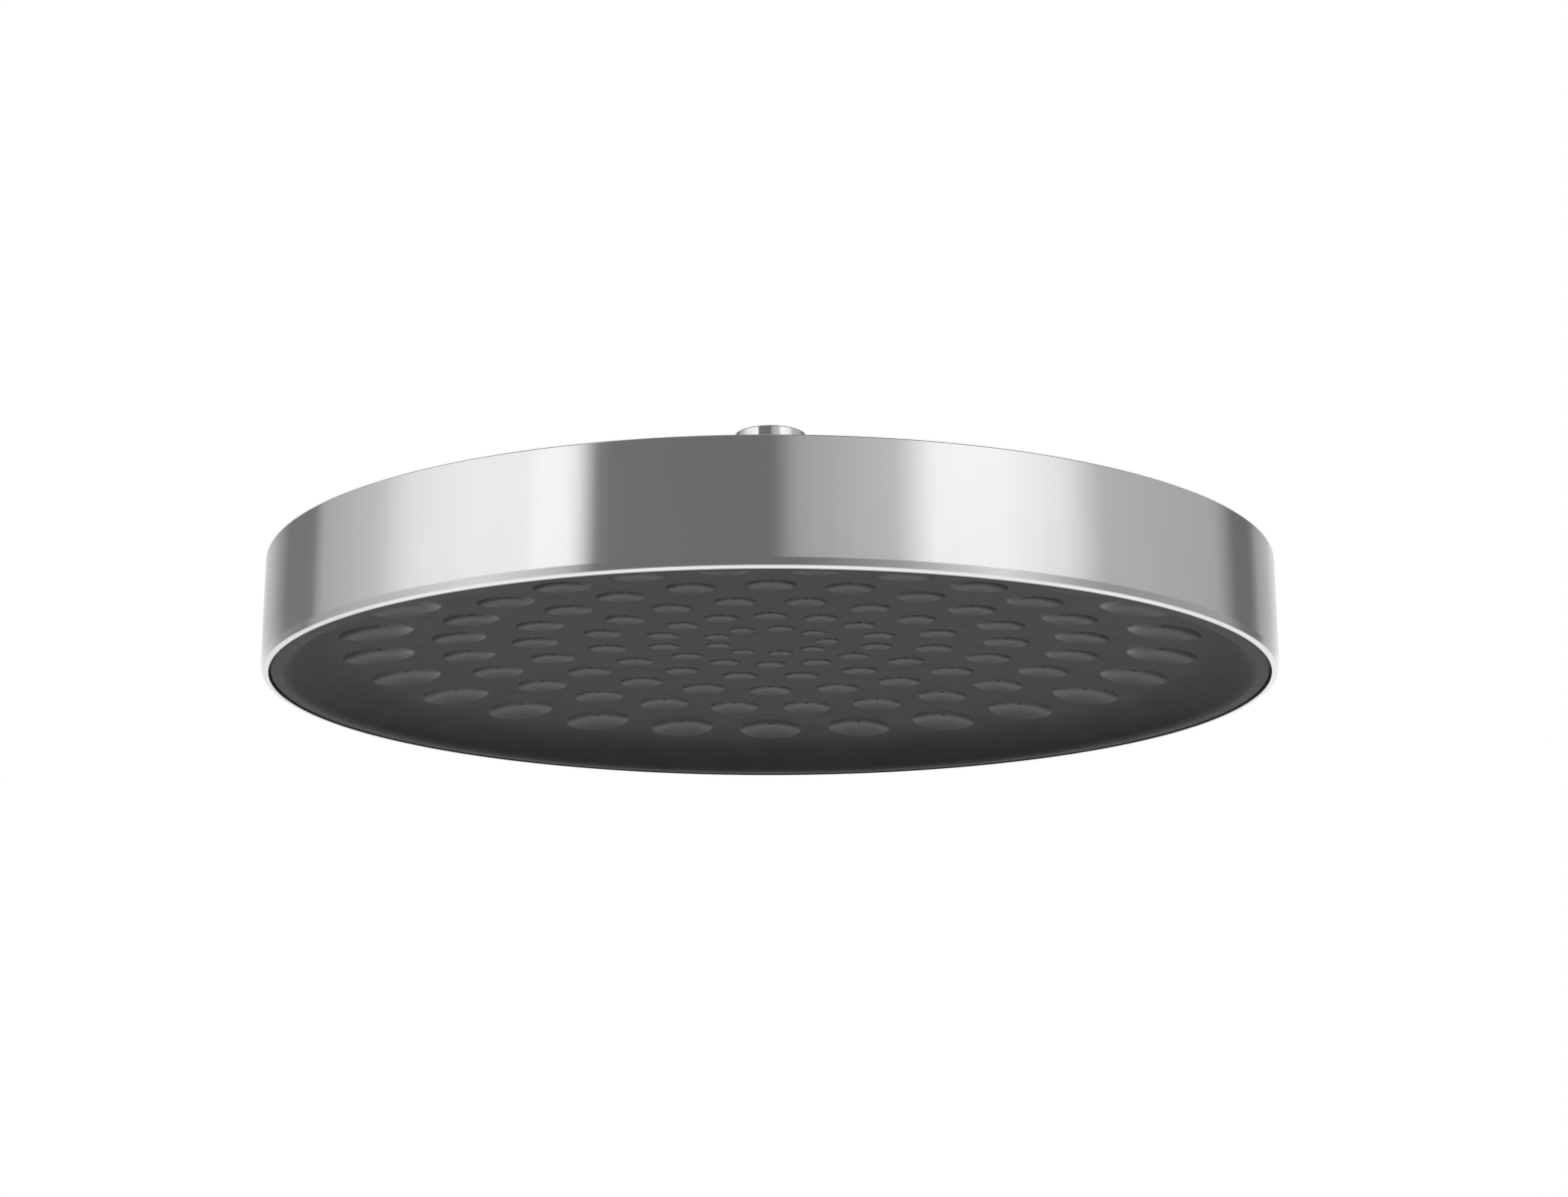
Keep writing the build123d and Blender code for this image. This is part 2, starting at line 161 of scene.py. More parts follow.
def build_mesh(name, points, faces, normals=None, coats=None, crease=35):
    """A mesh object from points in millimetres.

    Normals are given per face corner, or found from the crease angle in degrees. Coats are the
    numbers of the faces' materials.
    """
    mesh = bpy.data.meshes.new(name)
    mesh.from_pydata((np.asarray(points) * MM).tolist(), [], faces)
    mesh.polygons.foreach_set("use_smooth", [True] * len(mesh.polygons))
    if coats is not None:
        mesh.polygons.foreach_set("material_index", coats)
    mesh.update()
    if normals is None:
        mesh.set_sharp_from_angle(angle=math.radians(crease))
    else:
        mesh.normals_split_custom_set(normals)
    piece = bpy.data.objects.new(name, mesh)
    scene.collection.objects.link(piece)
    return piece


def rounded(before, spot, after, rounding, steps=5):
    """Points and normals of an outline's corner, rounded off between its two neighbours."""
    along = (spot - before) / np.linalg.norm(spot - before)
    onward = (after - spot) / np.linalg.norm(after - spot)
    turn = math.atan2(along[0] * onward[1] - along[1] * onward[0], along @ onward)
    side = math.copysign(1, turn)
    start = spot - along * rounding * math.tan(abs(turn) / 2)
    facing = np.array((along[1], -along[0]))
    centre = start - side * rounding * facing
    arc = []
    for step in range(steps + 1):
        angle = turn * step / steps
        normal = np.array((
            facing[0] * math.cos(angle) - facing[1] * math.sin(angle),
            facing[0] * math.sin(angle) + facing[1] * math.cos(angle),
        ))
        arc.append((centre + side * rounding * normal, normal))
    return arc


def straight(start, end):
    """A straight edge with the normal on its right-hand side."""
    along = (end - start) / np.linalg.norm(end - start)
    normal = np.array((along[1], -along[0]))
    return (start, end, normal, normal)


def chain(corners, closed=True):
    """Edges of an outline of (radius, height, rounding) corners.

    Each edge is its start, its end and the normals there.
    """
    spots = [np.array(corner[:2], float) for corner in corners]
    count = len(corners)
    arcs = []
    for index, (spot, corner) in enumerate(zip(spots, corners)):
        rounding = corner[2]
        if rounding > 0:
            arcs.append(rounded(spots[index - 1], spot, spots[(index + 1) % count], rounding))
        else:
            arcs.append([(spot, None)])
    edges = []
    for index, arc in enumerate(arcs):
        if index > 0:
            edges.append(straight(arcs[index - 1][-1][0], arc[0][0]))
        for (start, start_normal), (end, end_normal) in zip(arc, arc[1:]):
            edges.append((start, end, start_normal, end_normal))
    if closed:
        edges.append(straight(arcs[-1][-1][0], arcs[0][0][0]))
    return edges


def arc_edges(centre, radius, start, end, steps):
    """Edges of an arc about a (radius, height) centre between two angles in degrees.

    The arc faces outwards.
    """
    rays = []
    for step in range(steps + 1):
        angle = math.radians(start + (end - start) * step / steps)
        rays.append(np.array((math.cos(angle), math.sin(angle))))
    centre = np.array(centre, float)
    return [(centre + radius * a, centre + radius * b, a, b) for a, b in zip(rays, rays[1:])]


def swept(edges, segments, closed=True):
    """Points, faces and corner normals of an outline turned about Z."""
    angles = np.arange(segments) * FULL_TURN / segments
    rows = [edge[0] for edge in edges]
    if not closed:
        rows.append(edges[-1][1])
    rows = np.array(rows)
    points = np.empty((len(rows), segments, 3))
    points[:, :, 0] = rows[:, :1] * np.cos(angles)
    points[:, :, 1] = rows[:, :1] * np.sin(angles)
    points[:, :, 2] = rows[:, 1:]
    faces = []
    normals = []
    for row, (_, _, low, high) in enumerate(edges):
        here, there = row * segments, (row + 1) % len(rows) * segments
        for step in range(segments):
            other = (step + 1) % segments
            faces.append((here + step, here + other, there + other, there + step))
            for spin, (out, up) in ((step, low), (other, low), (other, high), (step, high)):
                angle = angles[spin]
                normals.append((out * math.cos(angle), out * math.sin(angle), up))
    return points.reshape(-1, 3), faces, normals


def cut_sides(name, edges, segments, reach):
    """A turned piece whose radius is held inside reach(angle, height)."""
    points, faces, _ = swept(edges, segments)
    for index, (x, y, z) in enumerate(points):
        radius = math.hypot(x, y)
        most = reach(math.atan2(y, x), z)
        if radius > most:
            points[index, :2] *= most / radius
    return build_mesh(name, points, faces)


def dress(piece, body, slot, materials, *replaced):
    """Gives a new piece its materials, the body it rides on and the solids that it stands for."""
    for material in materials:
        piece.data.materials.append(material)
    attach(piece, body)
    if replaced:
        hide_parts(*replaced)


# Materials

def new_material(name, colour, roughness, metallic=0.0):
    """A material with plain values on its shader; returns it with its tree and shader."""
    material = bpy.data.materials.new(name)
    material.use_nodes = True
    tree = material.node_tree
    shader = tree.nodes["Principled BSDF"]
    shader.inputs["Base Color"].default_value = (*colour, 1)
    shader.inputs["Roughness"].default_value = roughness
    shader.inputs["Metallic"].default_value = metallic
    return material, tree, shader


def noise(tree, scale, detail=4.0, stretch=(1, 1, 1)):
    """A noise texture in object space, with scale in cells per metre."""
    place = tree.nodes.new("ShaderNodeTexCoord")
    mapping = tree.nodes.new("ShaderNodeMapping")
    mapping.inputs["Scale"].default_value = stretch
    texture = tree.nodes.new("ShaderNodeTexNoise")
    texture.inputs["Scale"].default_value = scale
    texture.inputs["Detail"].default_value = detail
    tree.links.new(place.outputs["Object"], mapping.inputs["Vector"])
    tree.links.new(mapping.outputs["Vector"], texture.inputs["Vector"])
    return texture.outputs["Fac"]


def vary_roughness(tree, shader, value, low, high):
    """Makes the roughness follow a noise value, which stays near the middle, from low to high."""
    node = tree.nodes.new("ShaderNodeMapRange")
    node.inputs["From Min"].default_value = 0.25
    node.inputs["From Max"].default_value = 0.75
    node.inputs["To Min"].default_value = low
    node.inputs["To Max"].default_value = high
    tree.links.new(value, node.inputs["Value"])
    tree.links.new(node.outputs["Result"], shader.inputs["Roughness"])


def vary_colour(tree, shader, value, colour, dark, light):
    """Makes the colour follow a noise value, between a darker and a lighter share of it."""
    ramp = tree.nodes.new("ShaderNodeValToRGB")
    for element, position, share in zip(ramp.color_ramp.elements, (0.3, 0.7), (dark, light)):
        element.position = position
        element.color = (*(channel * share for channel in colour), 1)
    tree.links.new(value, ramp.inputs["Fac"])
    tree.links.new(ramp.outputs["Color"], shader.inputs["Base Color"])


def add_bump(tree, shader, value, depth, strength=1.0):
    """Bump of a depth in metres."""
    bump = tree.nodes.new("ShaderNodeBump")
    bump.inputs["Strength"].default_value = strength
    bump.inputs["Distance"].default_value = depth
    tree.links.new(value, bump.inputs["Height"])
    tree.links.new(bump.outputs["Normal"], shader.inputs["Normal"])


def chrome(name, colour, roughness):
    """Chrome plate with the faint unevenness that polishing leaves."""
    material, tree, shader = new_material(name, colour, roughness, 1.0)
    grain = noise(tree, scale=260, detail=3, stretch=(1, 1, 0.05))
    vary_roughness(tree, shader, grain, roughness * 0.8, roughness * 1.2)
    vary_colour(tree, shader, noise(tree, scale=30, detail=2), colour, 0.98, 1.01)
    return material


def moulding(name, colour, roughness, gloss=0.5, softness=0.0):
    """Moulded plastic with a fine grain; softness is the bloom of a soft-touch skin."""
    material, tree, shader = new_material(name, colour, roughness)
    shader.inputs["Specular IOR Level"].default_value = gloss
    shader.inputs["Sheen Weight"].default_value = softness
    shader.inputs["Sheen Roughness"].default_value = 0.4
    vary_colour(tree, shader, noise(tree, scale=40), colour, 0.95, 1.05)
    vary_roughness(tree, shader, noise(tree, scale=90), roughness * 0.9, roughness * 1.1)
    add_bump(tree, shader, noise(tree, scale=3500, detail=2), depth=0.00002, strength=0.5)
    return material


def turned_metal(name, colour, roughness):
    """Bare metal with turning rings."""
    material, tree, shader = new_material(name, colour, roughness, 1.0)
    rings = noise(tree, scale=900, detail=2, stretch=(0.05, 0.05, 1))
    vary_roughness(tree, shader, rings, roughness * 0.7, roughness * 1.4)
    vary_colour(tree, shader, noise(tree, scale=120), colour, 0.92, 1.05)
    add_bump(tree, shader, rings, depth=0.00001)
    return material


def rubber(name, colour):
    """Matt rubber with a fine skin."""
    material, tree, shader = new_material(name, colour, 0.75)
    vary_colour(tree, shader, noise(tree, scale=200), colour, 0.85, 1.2)
    add_bump(tree, shader, noise(tree, scale=2500, detail=3), depth=0.00003, strength=0.6)
    return material


CHROME_COLOUR = (0.80, 0.805, 0.80)
FACE_COLOUR = (0.0132, 0.0134, 0.0137)
# The cups' lighter colour is painted light. It stands in for the brighter shading on the dimples,
# which are of the face's own material. Their lower roughness is a real smoother finish.
CUP_PAINTED_LIGHT_COLOUR = (0.034, 0.0344, 0.035)
SATIN_CHROME = chrome("satin_chrome", CHROME_COLOUR, 0.11)
BRIGHT_CHROME = chrome("bright_chrome", CHROME_COLOUR, 0.08)
DARK_FACE = moulding("anthracite_moulding", FACE_COLOUR, 0.6, gloss=0.24, softness=0.08)
CUP_WITH_PAINTED_LIGHT = moulding("anthracite_cup_painted_lighter", CUP_PAINTED_LIGHT_COLOUR, 0.2, gloss=0.17)
GREY_PLASTIC = moulding("grey_moulding", (0.20, 0.20, 0.21), 0.5)
NYLON = moulding("natural_nylon", (0.76, 0.76, 0.72), 0.42)
ACETAL = moulding("white_acetal", (0.82, 0.82, 0.80), 0.38)
BLACK_RUBBER = rubber("black_rubber", (0.03, 0.03, 0.032))
RED_RUBBER = rubber("red_rubber", (0.42, 0.06, 0.05))
BRASS = turned_metal("bare_brass", (0.72, 0.55, 0.28), 0.3)
STEEL = turned_metal("plain_steel", (0.62, 0.62, 0.63), 0.28)


# Drum

def make_shell():
    """The drum with softly broken edges and a polished rim."""
    edges = chain([
        # radius, height, rounding
        (STEM_HOLE, DRUM_TOP_Z, 0.2),
        (DRUM_RADIUS, DRUM_TOP_Z, 0.5),
        (DRUM_RADIUS, RIM_Z + RIM_BEVEL_HEIGHT, 0.6),
        (DRUM_RADIUS - RIM_BEVEL_WIDTH, RIM_Z + RIM_RISE, RIM_ROUNDING),
        (DRUM_BORE, RIM_Z, 0.12),
        (DRUM_BORE, CEILING_Z, 0.8),
        (STEM_HOLE, CEILING_Z, 0.2),
    ])
    points, faces, normals = swept(edges, DRUM_SEGMENTS)
    rim_top_z = RIM_Z + RIM_RISE + RIM_ROUNDING
    on_rim = [int(max(start[1], end[1]) < rim_top_z) for start, end, *_ in edges]
    return build_mesh("drum", points, faces, normals, np.repeat(on_rim, DRUM_SEGMENTS))


# Spray face

def dish_arcs():
    """Centres of the dish's crown and cove, as (radius, height), and where the cove begins.

    The cove's beginning is its radius and the lean there in degrees.
    """
    crown = np.array((DISH_FLAT_RADIUS, DISH_TOP_Z - DISH_CROWN_RADIUS))
    corner = np.array((LIP_INNER_RADIUS, LIP_Z))
    span = corner - crown
    reach = np.linalg.norm(span)
    between = DISH_CROWN_RADIUS - DISH_COVE_RADIUS
    along = (between**2 - DISH_COVE_RADIUS**2 + reach**2) / (2 * reach)
    aside = math.sqrt(between**2 - along**2)
    forward = span / reach
    cove = crown + forward * along + np.array((-forward[1], forward[0])) * aside
    tilt = math.asin((cove[0] - crown[0]) / between)
    return crown, cove, crown[0] + DISH_CROWN_RADIUS * math.sin(tilt), math.degrees(tilt)


CROWN, COVE, COVE_START, COVE_TILT = dish_arcs()


def dish(radius):
    """Height and outward slope of the dish's front at distances from the axis, inside the cove."""
    out = np.maximum(radius - CROWN[0], 0)
    drop = np.sqrt(DISH_CROWN_RADIUS**2 - out**2)
    return CROWN[1] + drop, -out / drop


def dimple_places():
    """Centre and radius of every dimple, in plan."""
    places = []
    for count, ring_radius, dimple_radius, start in DIMPLE_RINGS:
        for step in range(count):
            angle = math.radians(start + 360 * step / count)
            x, y = ring_radius * math.cos(angle), ring_radius * math.sin(angle)
            places.append((x, y, dimple_radius))
    return places


def dimple_rise(distance, radius):
    """How far a dimple lifts the front at a distance from its middle, and the slope there."""
    depth = DIMPLE_DEPTH_SHARE * radius
    press = (radius**2 + depth**2) / (2 * depth)
    root = np.sqrt(press**2 - distance**2)
    cap = (root - (press - depth)) / DIMPLE_EDGE_SOFTNESS
    return DIMPLE_EDGE_SOFTNESS * np.logaddexp(0, cap), -distance / root / (1 + np.exp(-cap))


class Skin:
    """Points, faces and corner normals of a mesh that grows piece by piece."""

    def __init__(self):
        self.points = []
        self.faces = []
        self.normals = []
        self.coats = []
        self.point_normals = []

    def add_points(self, points, normals):
        """Adds points with their normals and returns the number of the first one."""
        first = len(self.points)
        self.points.extend(map(tuple, points))
        self.point_normals.extend(map(tuple, normals))
        return first

    def add_face(self, corners, normals=None, coat=0):
        """Adds a face; its corners take their points' normals unless others are given."""
        self.faces.append(tuple(corners))
        self.coats.append(coat)
        self.normals.extend(normals or [self.point_normals[corner] for corner in corners])

    def add_band(self, lower, upper, coat, normals=None):
        """Adds quads between two loops of a dimple; normals are given per step round them."""
        for step in range(DIMPLE_SEGMENTS):
            other = (step + 1) % DIMPLE_SEGMENTS
            corners = (lower + step, lower + other, upper + other, upper + step)
            if normals is None:
                self.add_face(corners, None, coat)
            else:
                here, there = normals[step], normals[other]
                self.add_face(corners, [here, there, there, here], coat)


def circle(x, y, radius, count):
    """Points of a circle in plan."""
    angles = np.arange(count) * FULL_TURN / count
    return np.stack((x + radius * np.cos(angles), y + radius * np.sin(angles)), axis=1)


def fill_plan(rings, border, spacing, clear):
    """Triangulates the plan between rings and a border.

    Returns the points added on a grid of that spacing and the triangles.
    """
    loops = [border] + [circle(x, y, radius, DIMPLE_SEGMENTS) for x, y, radius in rings]
    edges = []
    first = 0
    for loop in loops:
        count = len(loop)
        edges.extend((first + step, first + (step + 1) % count) for step in range(count))
        first += count
    centres = np.array([ring[:2] for ring in rings])
    radii = np.array([ring[2] for ring in rings])
    limit = np.hypot(*border[0])
    rows = int(limit / spacing) + 1
    extra = []
    for row in range(-rows, rows + 1):
        for column in range(-rows, rows + 1):
            along = (column + 0.5 * (row % 2)) * spacing
            spot = np.array((along, row * spacing * math.sqrt(0.75)))
            gap = np.hypot(*(centres - spot).T) - radii
            if np.hypot(*spot) < limit - clear and gap.min() > clear:
                extra.append(spot)
    extra = np.array(extra)
    every = np.concatenate(loops + [extra])
    result = delaunay_2d_cdt([Vector(spot) for spot in every], edges, [], 0, TINY)
    origin = [source[0] if source else -1 for source in result[3]]
    triangles = []
    for face in result[2]:
        corners = [origin[corner] for corner in face]
        middle = every[corners].mean(axis=0)
        inside = (np.hypot(*(centres - middle).T) < radii).any()
        if not inside and min(corners) >= 0:
            triangles.append(corners)
    return extra, triangles


def front_points(plan, dimple=None):
    """Points and normals of the front, with the given dimple pressed in."""
    x, y = plan.T
    radius = np.hypot(x, y)
    height, slope = dish(radius)
    safe = np.maximum(radius, TINY)
    slope_x, slope_y = slope * x / safe, slope * y / safe
    if dimple:
        centre_x, centre_y, dimple_radius = dimple
        distance = np.hypot(x - centre_x, y - centre_y)
        rise, lean = dimple_rise(distance, dimple_radius)
        safe = np.maximum(distance, TINY)
        height = height + rise
        slope_x = slope_x + lean * (x - centre_x) / safe
        slope_y = slope_y + lean * (y - centre_y) / safe
    normals = np.stack((slope_x, slope_y, -np.ones_like(slope_x)), axis=1)
    normals /= np.linalg.norm(normals, axis=1)[:, None]
    return np.stack((x, y, height), axis=1), normals


def back_points(plan):
    """Points and normals of the back."""
    points, normals = front_points(plan)
    return points + np.array((0, 0, FACE_THICKNESS)), -normals


def loop_numbers(border, loops, grid, extra):
    """Point numbers in fill_plan's order, from each loop's and the grid's first number."""
    numbers = list(range(border, border + FACE_SEGMENTS))
    for loop in loops:
        numbers.extend(range(loop, loop + DIMPLE_SEGMENTS))
    numbers.extend(range(grid, grid + len(extra)))
    return numbers


def add_front(skin, places):
    """The front with its dimples.

    Returns the first point numbers of its border and of each outlet.
    """
    border = circle(0, 0, COVE_START, FACE_SEGMENTS)
    rim = skin.add_points(*front_points(border))
    outlets, rims = [], []
    for x, y, radius in places:
        steps = [OUTLET_RADIUS, OUTLET_RADIUS + OUTLET_EDGE]
        steps += [share * radius for share in DIMPLE_SHARES]
        steps += [radius + share * DIMPLE_EDGE for share in (-1, -0.5, 0, 0.5, 1)]
        steps.sort()
        loops = []
        for step in steps:
            plan = circle(x, y, step, DIMPLE_SEGMENTS)
            loops.append(skin.add_points(*front_points(plan, (x, y, radius))))
        for inner, outer, reach in zip(loops, loops[1:], steps[1:]):
            # Faces inside each dimple take the second coat, whose lighter colour is painted light.
            skin.add_band(inner, outer, coat=int(reach < radius + DIMPLE_EDGE / 4))
        outlets.append(loops[0])
        rims.append(loops[-1])
    rings = [(x, y, radius + DIMPLE_EDGE) for x, y, radius in places]
    extra, triangles = fill_plan(rings, border, FRONT_GRID, FRONT_GRID_CLEARANCE)
    grid = skin.add_points(*front_points(extra))
    numbers = loop_numbers(rim, rims, grid, extra)
    for corners in triangles:
        skin.add_face([numbers[corner] for corner in reversed(corners)])
    return rim, outlets


def add_back(skin, places, outlets):
    """The back and the outlets' walls; returns the first point number of its border."""
    border = circle(0, 0, LEDGE_INNER_RADIUS, FACE_SEGMENTS)
    rim = skin.add_points(*back_points(border))
    angles = np.arange(DIMPLE_SEGMENTS) * FULL_TURN / DIMPLE_SEGMENTS
    spokes = [(-math.cos(angle), -math.sin(angle), 0) for angle in angles]
    backs = []
    for (x, y, _), outlet in zip(places, outlets):
        plan = circle(x, y, OUTLET_RADIUS, DIMPLE_SEGMENTS)
        back = skin.add_points(*back_points(plan))
        skin.add_band(back, outlet, 1, spokes)
        backs.append(back)
    rings = [(x, y, OUTLET_RADIUS) for x, y, _ in places]
    extra, triangles = fill_plan(rings, border, BACK_GRID, BACK_GRID_CLEARANCE)
    grid = skin.add_points(*back_points(extra))
    numbers = loop_numbers(rim, backs, grid, extra)
    for corners in triangles:
        skin.add_face([numbers[corner] for corner in corners])
    return rim


def add_face_edge(skin, rim, back_rim):
    """Cove, lip, skirt and ledge, turned between the front's border and the back's border."""
    fillet_z = LIP_Z + LIP_FILLET_RADIUS
    reach = DISH_COVE_RADIUS + LIP_FILLET_RADIUS
    fillet_radius = COVE[0] + math.sqrt(reach**2 - (fillet_z - COVE[1])**2)
    lip_tilt = math.degrees(math.acos((fillet_z - COVE[1]) / reach))
    fillet_centre = (fillet_radius, fillet_z)
    fillet = arc_edges(fillet_centre, LIP_FILLET_RADIUS, 270 - lip_tilt, 270, LIP_FILLET_STEPS)
    cove = []
    for start, end, start_normal, end_normal in arc_edges(
        COVE, DISH_COVE_RADIUS, 90 - COVE_TILT, 90 - lip_tilt, DISH_COVE_STEPS
    ):
        cove.append((start, end, -start_normal, -end_normal))
    skirt_inner = FACE_RADIUS - SKIRT_WALL
    groove_outer = GROOVE_INNER_RADIUS + GROOVE_WIDTH
    back_z = dish(LEDGE_INNER_RADIUS)[0] + FACE_THICKNESS
    rest = chain([
        # radius, height, rounding
        (fillet_radius, LIP_Z, 0),
        (FACE_RADIUS, LIP_Z, LIP_EDGE_RADIUS),
        (FACE_RADIUS, LIP_Z + SKIRT_HEIGHT, 0.4),
        (skirt_inner, LIP_Z + SKIRT_HEIGHT, 0.4),
        (skirt_inner, LIP_Z + FACE_THICKNESS, 0.8),
        (LEDGE_OUTER_RADIUS, LEDGE_Z - LEDGE_HEIGHT, 0.8),
        (LEDGE_OUTER_RADIUS, LEDGE_Z, 0.2),
        (groove_outer, LEDGE_Z, 0),
        (groove_outer, LEDGE_Z - GROOVE_DEPTH, 0),
        (GROOVE_INNER_RADIUS, LEDGE_Z - GROOVE_DEPTH, 0),
        (GROOVE_INNER_RADIUS, LEDGE_Z, 0),
        (LEDGE_INNER_RADIUS, LEDGE_Z, 0.2),
        (LEDGE_INNER_RADIUS, back_z, 0),
    ], closed=False)
    points, faces, normals = swept(cove + fillet + rest, FACE_SEGMENTS, closed=False)
    last = len(points) - FACE_SEGMENTS
    middle = points[FACE_SEGMENTS:last]
    base = skin.add_points(middle, np.zeros_like(middle))

    def number(corner):
        if corner < FACE_SEGMENTS:
            return rim + corner
        if corner >= last:
            return back_rim + corner - last
        return base + corner - FACE_SEGMENTS

    for index, corners in enumerate(faces):
        skin.add_face([number(corner) for corner in corners], normals[4 * index:4 * index + 4])


def make_face():
    """The dished face with its dimples and outlets, its lip, its skirt and the ledge behind."""
    skin = Skin()
    places = dimple_places()
    rim, outlets = add_front(skin, places)
    back_rim = add_back(skin, places, outlets)
    add_face_edge(skin, rim, back_rim)
    return build_mesh("spray_face", skin.points, skin.faces, skin.normals, skin.coats)


# Inlet and ball joint

def make_connector():
    """Inlet collar, neck and ball in one turned piece."""
    neck_angle = math.degrees(math.acos(NECK_RADIUS / BALL_RADIUS))
    mouth_angle = math.degrees(math.acos(WATERWAY_RADIUS / BALL_RADIUS))
    ball = arc_edges((0, BALL_Z), BALL_RADIUS, -mouth_angle, neck_angle, BALL_STEPS)
    neck_z = BALL_Z + math.sqrt(BALL_RADIUS**2 - NECK_RADIUS**2)
    mouth_z = BALL_Z - math.sqrt(BALL_RADIUS**2 - WATERWAY_RADIUS**2)
    rest = chain([
        # radius, height, rounding
        (NECK_RADIUS, neck_z, 0),
        (NECK_RADIUS, -COLLAR_LENGTH, 1.0),
        (COLLAR_RADIUS, -COLLAR_LENGTH, 0.8),
        (COLLAR_RADIUS, 0.0, 0.6),
        (THREAD_RADIUS + MOUTH_CHAMFER, 0.0, 0.15),
        (THREAD_RADIUS, -MOUTH_CHAMFER, 0.1),
        (THREAD_RADIUS, -THREAD_LENGTH, 0),
        (INSERT_RADIUS, -THREAD_LENGTH, 0.15),
        (INSERT_RADIUS, INSERT_FLOOR_Z, 0.1),
        (WATERWAY_RADIUS, INSERT_FLOOR_Z, 0.2),
        (WATERWAY_RADIUS, mouth_z, 0),
    ], closed=False)
    return build_mesh("inlet_connector", *swept(ball + rest, CONNECTOR_SEGMENTS))


def make_inlet_thread():
    """The helical ridge of a half-inch pipe thread inside the collar."""
    count = int((RIDGE_TOP_Z - RIDGE_BOTTOM_Z) / RIDGE_PITCH * RIDGE_SEGMENTS)
    points, faces = [], []
    for step in range(count + 1):
        angle = FULL_TURN * step / RIDGE_SEGMENTS
        z = RIDGE_BOTTOM_Z + RIDGE_PITCH * step / RIDGE_SEGMENTS
        fade = min(1.0, step / RIDGE_FADE_STEPS, (count - step) / RIDGE_FADE_STEPS)
        crest = RIDGE_WALL_RADIUS - (RIDGE_WALL_RADIUS - RIDGE_CREST_RADIUS) * fade
        for radius, rise in (
            (RIDGE_WALL_RADIUS, -RIDGE_FOOT),
            (crest, -RIDGE_CREST),
            (crest, RIDGE_CREST),
            (RIDGE_WALL_RADIUS, RIDGE_FOOT),
        ):
            points.append((radius * math.cos(angle), radius * math.sin(angle), z + rise))
    for step in range(count):
        here, there = 4 * step, 4 * step + 4
        for corner in range(4):
            other = (corner + 1) % 4
            faces.append((here + corner, there + corner, there + other, here + other))
    faces.append((0, 1, 2, 3))
    end = 4 * count
    faces.append((end + 3, end + 2, end + 1, end))
    return build_mesh("inlet_thread", points, faces, crease=25)


def make_union_nut():
    """The union nut: bevelled shoulder, two spanner flats and a knife-edged mouth."""
    flat_top = NUT_BOTTOM_Z + NUT_FLAT_HEIGHT
    edges = chain([
        # radius, height, rounding
        (STEM_BORE, NUT_BOTTOM_Z, 0.3),
        (NUT_RADIUS, NUT_BOTTOM_Z, 0.5),
        (NUT_RADIUS, flat_top, 0),
        (NUT_RADIUS, flat_top + NUT_FLAT_STEP, 0),
        (NUT_RADIUS, NUT_TOP_Z - NUT_BEVEL, 1.2),
        (NUT_RADIUS - NUT_BEVEL, NUT_TOP_Z, 1.2),
        (NUT_MOUTH_RADIUS, NUT_TOP_Z, 0.3),
        (NUT_MOUTH_RADIUS, NUT_MOUTH_Z, 0.1),
        (NUT_SEAT_RADIUS, NUT_SEAT_Z, 0.1),
        (NUT_SEAT_RADIUS, NUT_SHOULDER_Z, 0),
        (STEM_BORE, NUT_SHOULDER_Z, 0),
    ])

    def reach(angle, z):
        if z > flat_top + NUT_FLAT_STEP / 2:
            return NUT_RADIUS
        return min(NUT_RADIUS, NUT_FLAT / max(abs(math.cos(angle)), TINY))

    return cut_sides("union_nut_body", edges, NUT_SEGMENTS, reach)


def make_lock_nut():
    """Hexagon nut with chamfered corners."""
    bottom = DRUM_TOP_Z + LOCK_NUT_LIFT
    top = bottom + LOCK_NUT_HEIGHT
    chamfer_radius = LOCK_NUT_FLAT - LOCK_NUT_CHAMFER_INSET
    corner_radius = LOCK_NUT_FLAT / math.cos(math.pi / 6)
    edges = chain([
        # radius, height, rounding
        (STEM_BORE, bottom, 0.3),
        (chamfer_radius, bottom, 0),
        (corner_radius, bottom + LOCK_NUT_CHAMFER_HEIGHT, 0),
        (corner_radius, top - LOCK_NUT_CHAMFER_HEIGHT, 0),
        (chamfer_radius, top, 0),
        (STEM_BORE, top, 0.3),
    ])

    def reach(angle, _):
        side = math.pi / 3
        return LOCK_NUT_FLAT / math.cos((angle + side / 2) % side - side / 2)

    return cut_sides("lock_nut_body", edges, LOCK_NUT_SEGMENTS, reach)


dress(make_shell(), "head", "chrome_shell", [SATIN_CHROME, BRIGHT_CHROME], "shell")
dress(make_face(), "head", "dark_face", [DARK_FACE, CUP_WITH_PAINTED_LIGHT], "face_plate")
dress(make_connector(), "connector", "chrome_brass", [BRIGHT_CHROME], "ball_connector")
dress(make_inlet_thread(), "connector", "chrome_brass", [BRASS])
dress(make_union_nut(), "head", "chrome_brass", [BRIGHT_CHROME], "union_nut")
dress(make_lock_nut(), "head", "bare_brass", [BRASS], "lock_nut")

NODE_MATERIALS = {
    "chamber_plate": GREY_PLASTIC,
    "chamber_seal": BLACK_RUBBER,
    "chamber_screws": STEEL,
    "inlet_spigot": BRASS,
    "spigot_gasket": BLACK_RUBBER,
    "shell_washer": NYLON,
    "seat_seal": BLACK_RUBBER,
    "friction_ring": ACETAL,
    "inlet_washer": BLACK_RUBBER,
    "filter_screen": STEEL,
    "flow_regulator": ACETAL,
    "regulator_ring": RED_RUBBER,
}
for node_name, node_material in NODE_MATERIALS.items():
    node_slots = nodes[node_name].data.materials
    node_slots.clear()
    node_slots.append(node_material)


# Studio

